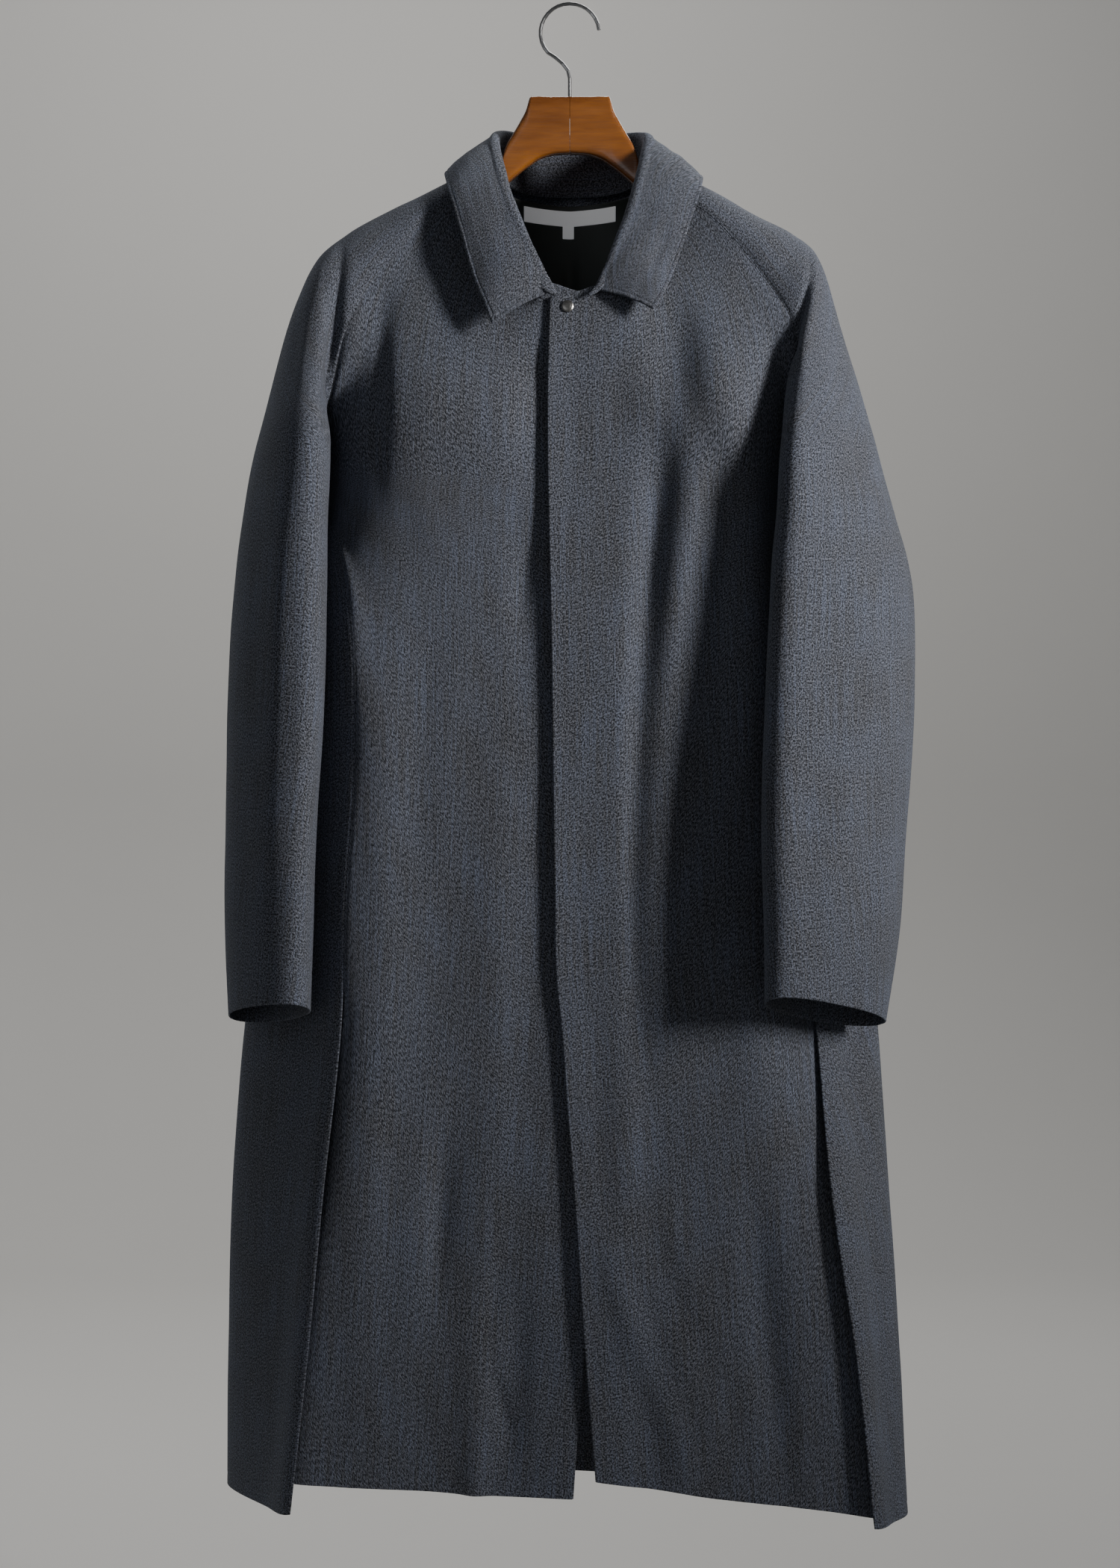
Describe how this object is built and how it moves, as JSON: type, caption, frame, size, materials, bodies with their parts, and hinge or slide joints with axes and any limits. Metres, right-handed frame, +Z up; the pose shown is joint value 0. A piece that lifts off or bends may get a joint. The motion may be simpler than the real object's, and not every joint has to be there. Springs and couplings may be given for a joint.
{
  "type": "mac coat on wooden hanger",
  "caption": "Knee-length raglan mac coat with a one-piece turn-down collar, fly front and side vents, hung on a flat wooden hanger with a wire hook.",
  "frame": {"origin": "inside of the top of the hook's curve, where a rail carries it", "axes": "+X to the right of a viewer who faces the coat's front, -Y out of the front, +Z up"},
  "size_m": [0.5787, 0.2599, 1.2767],
  "materials": {
    "melange_wool": "soft blue-grey salt-and-pepper wool, matte",
    "dark_lining": "dark green-black twill lining, faint sheen",
    "white_tape": "plain white woven tape, satin",
    "nickel_snap": "dull nickel plate",
    "varnished_wood": "orange-brown clear varnish, glossy",
    "hook_wire": "bright plated wire"
  },
  "bodies": {
    "root": {"front_left": "melange_wool", "front_right": "melange_wool", "back": "melange_wool", "sleeve_front_left": "melange_wool", "sleeve_front_right": "melange_wool", "sleeve_back_left": "melange_wool", "sleeve_back_right": "melange_wool", "collar": "melange_wool", "pocket_facing_left": "melange_wool", "pocket_facing_right": "melange_wool", "back_lining": "dark_lining", "label": "white_tape", "size_tab": "white_tape", "snap_cap": "nickel_snap", "hanger_arm_left": "varnished_wood", "hanger_arm_right": "varnished_wood", "hanger_hook": "hook_wire"}
  },
  "joints": []
}
